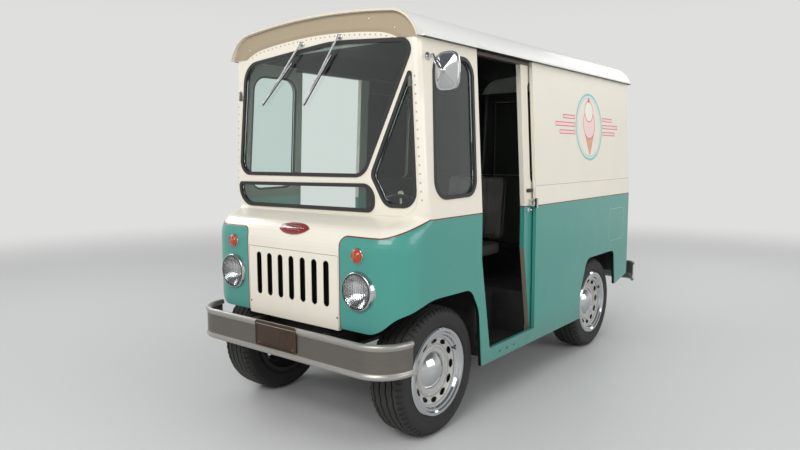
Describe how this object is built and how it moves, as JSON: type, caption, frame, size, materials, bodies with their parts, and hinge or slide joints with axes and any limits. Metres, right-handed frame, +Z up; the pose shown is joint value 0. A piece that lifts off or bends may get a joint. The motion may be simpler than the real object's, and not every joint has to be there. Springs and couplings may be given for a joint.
{
  "type": "ice cream truck",
  "caption": "Compact walk-in ice cream truck with a rounded nose, upright slotted grille, sliding cab doors, boxy load body and overhanging crowned roof.",
  "frame": {"origin": "on top of the load floor, on the centreline, midway between the axles", "axes": "+Z up, -Y towards the nose, +X towards the driver's side (the vehicle's left)"},
  "size_m": [1.671, 3.417, 2.224],
  "materials": {
    "body_paint": "gloss",
    "cream_paint": "gloss",
    "roof_paint": "gloss",
    "interior_paint": "satin",
    "frame_paint": "satin",
    "silver_paint": "satin",
    "glass": "gloss",
    "lens": "gloss",
    "rubber": "matte",
    "tyre": "matte",
    "chrome": "polished",
    "amber": "gloss",
    "red": "gloss",
    "seat_cover": "satin",
    "cast_metal": "matte",
    "dark_plastic": "gloss",
    "cream_plastic": "gloss",
    "steel": "satin"
  },
  "bodies": {
    "truck": {"cab_floor": "interior_paint", "cab_glass": "glass", "cab_shell": "body_paint", "chassis_frame": "frame_paint", "door_rails": "frame_paint", "driveshaft": "cast_metal", "engine_block": "cast_metal", "engine_cover": "body_paint", "exhaust": "steel", "front_axle": "frame_paint", "front_bumper": "silver_paint", "fuel_tank": "frame_paint", "gear_lever": "cream_plastic", "grille_panel": "cream_paint", "headlight_lenses": "lens", "headlights": "chrome", "leaf_springs": "steel", "load_floor": "interior_paint", "mirror": "chrome", "radiator": "frame_paint", "rear_axle": "frame_paint", "rear_bumper": "silver_paint", "rear_frame": "body_paint", "roof": "roof_paint", "seat_base": "frame_paint", "seat_cushions": "seat_cover", "side_panel_left": "body_paint", "side_panel_right": "body_paint", "steering_column": "frame_paint", "tail_lamps": "red", "turn_signals": "amber", "window_rubbers": "rubber", "windscreen_panel": "cream_paint", "wipers": "dark_plastic"},
    "steering": {"steering_wheel": "dark_plastic"},
    "knuckle_body_left": {"knuckle_left": "cast_metal"},
    "knuckle_body_right": {"knuckle_right": "cast_metal"},
    "sliding_left": {"sliding_door_left": "body_paint", "sliding_glass_left": "glass"},
    "sliding_right": {"sliding_door_right": "body_paint", "sliding_glass_right": "glass"},
    "rear_leaf_left": {"rear_door_left": "body_paint"},
    "rear_leaf_right": {"rear_door_right": "body_paint"},
    "road_wheel_front_left": {"wheel_front_left": "silver_paint", "tyre_front_left": "tyre"},
    "road_wheel_front_right": {"wheel_front_right": "silver_paint", "tyre_front_right": "tyre"},
    "road_wheel_rear_left": {"wheel_rear_left": "silver_paint", "tyre_rear_left": "tyre"},
    "road_wheel_rear_right": {"wheel_rear_right": "silver_paint", "tyre_rear_right": "tyre"}
  },
  "joints": [
    {"name": "steering_wheel_turn", "type": "hinge", "parent": "truck", "child": "steering", "pos_m": [0.33, -0.76, 0.53], "axis": [0, 0.6402, 0.7682], "range_deg": [-480, 480]},
    {"name": "steer_left", "type": "hinge", "parent": "truck", "child": "knuckle_body_left", "pos_m": [0.535, -1.0285, -0.256], "axis": [0, 0, 1], "range_deg": [-30, 30]},
    {"name": "steer_right", "type": "hinge", "parent": "truck", "child": "knuckle_body_right", "pos_m": [-0.535, -1.0285, -0.256], "axis": [0, 0, 1], "range_deg": [-30, 30]},
    {"name": "spin_front_left", "type": "hinge", "parent": "knuckle_body_left", "child": "road_wheel_front_left", "pos_m": [0.5875, -1.0285, -0.256], "axis": [1, 0, 0], "continuous": true},
    {"name": "spin_front_right", "type": "hinge", "parent": "knuckle_body_right", "child": "road_wheel_front_right", "pos_m": [-0.5875, -1.0285, -0.256], "axis": [1, 0, 0], "continuous": true},
    {"name": "spin_rear_left", "type": "hinge", "parent": "truck", "child": "road_wheel_rear_left", "pos_m": [0.5875, 1.0285, -0.256], "axis": [1, 0, 0], "continuous": true},
    {"name": "spin_rear_right", "type": "hinge", "parent": "truck", "child": "road_wheel_rear_right", "pos_m": [-0.5875, 1.0285, -0.256], "axis": [1, 0, 0], "continuous": true},
    {"name": "slide_door_left", "type": "slide", "parent": "truck", "child": "sliding_left", "axis": [0, 1, 0], "range_m": [-0.557, 0]},
    {"name": "slide_door_right", "type": "slide", "parent": "truck", "child": "sliding_right", "axis": [0, 1, 0], "range_m": [-0.557, 0]},
    {"name": "swing_rear_left", "type": "hinge", "parent": "truck", "child": "rear_leaf_left", "pos_m": [0.562, 1.703, 0.7], "axis": [0, 0, -1], "range_deg": [0, 105]},
    {"name": "swing_rear_right", "type": "hinge", "parent": "truck", "child": "rear_leaf_right", "pos_m": [-0.562, 1.703, 0.7], "axis": [0, 0, 1], "range_deg": [0, 105]}
  ],
  "couplings": [
    {"joint": "steer_left", "follows": "steering_wheel_turn", "ratio": 0.0625},
    {"joint": "steer_right", "follows": "steering_wheel_turn", "ratio": 0.0625}
  ]
}
